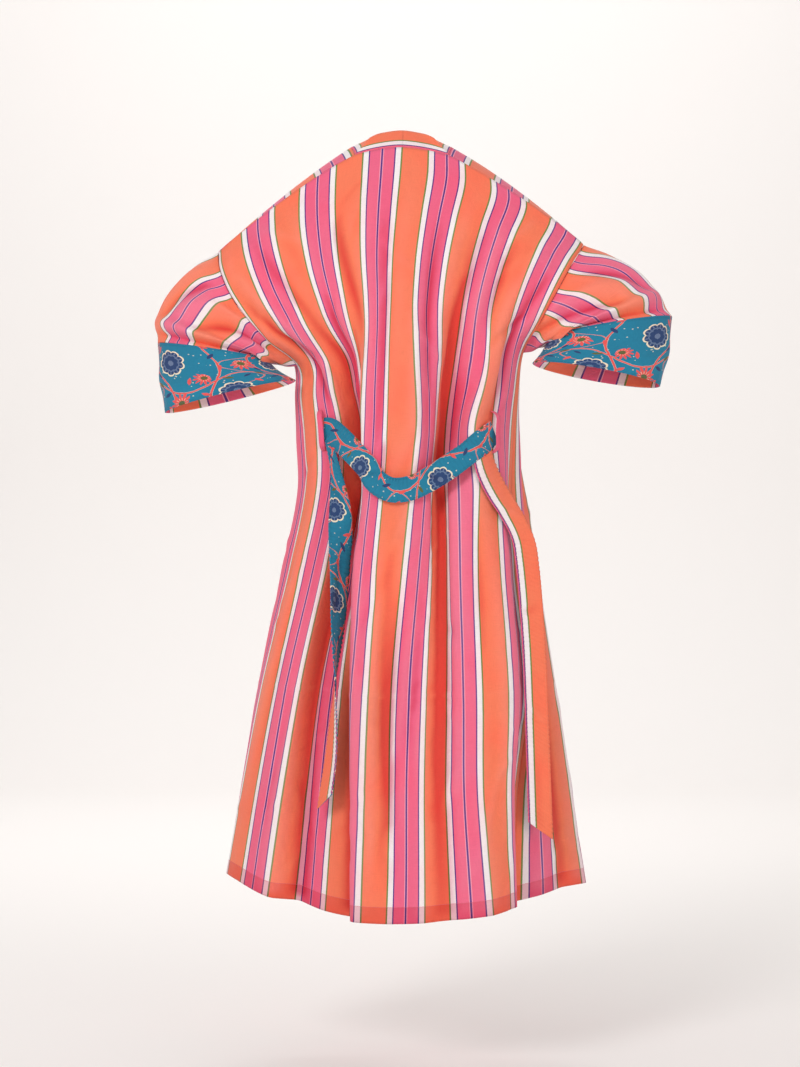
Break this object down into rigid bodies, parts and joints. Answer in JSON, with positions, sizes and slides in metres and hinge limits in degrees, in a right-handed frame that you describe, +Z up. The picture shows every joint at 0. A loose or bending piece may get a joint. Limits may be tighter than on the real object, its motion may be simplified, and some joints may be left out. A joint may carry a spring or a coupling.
{
  "type": "long kimono",
  "caption": "Long open kimono of striped cotton with broad floral cuffs, a neck band running down both fronts and a loose reversible belt, as it hangs when worn with bent arms.",
  "frame": {"origin": "at the neck, on the garment's middle plane and level with the back neck seam, where the wearer's neck and shoulders hold it", "axes": "+Z up, the garment's front faces -Y and its back +Y, +X is the wearer's left"},
  "size_m": [0.8466, 0.3578, 1.2762],
  "materials": {
    "striped_cotton": "matte",
    "band_cotton": "matte",
    "floral_cotton": "matte"
  },
  "bodies": {
    "root": {"back_panel": "striped_cotton", "front_left": "striped_cotton", "front_right": "striped_cotton", "sleeve_left": "striped_cotton", "sleeve_right": "striped_cotton", "belt_loop_left": "striped_cotton", "belt_loop_right": "striped_cotton", "collar_left": "band_cotton", "collar_right": "band_cotton", "cuff_left": "floral_cotton", "cuff_right": "floral_cotton", "belt_back": "floral_cotton", "belt_tail_left": "floral_cotton", "belt_tail_right": "floral_cotton"}
  },
  "joints": []
}
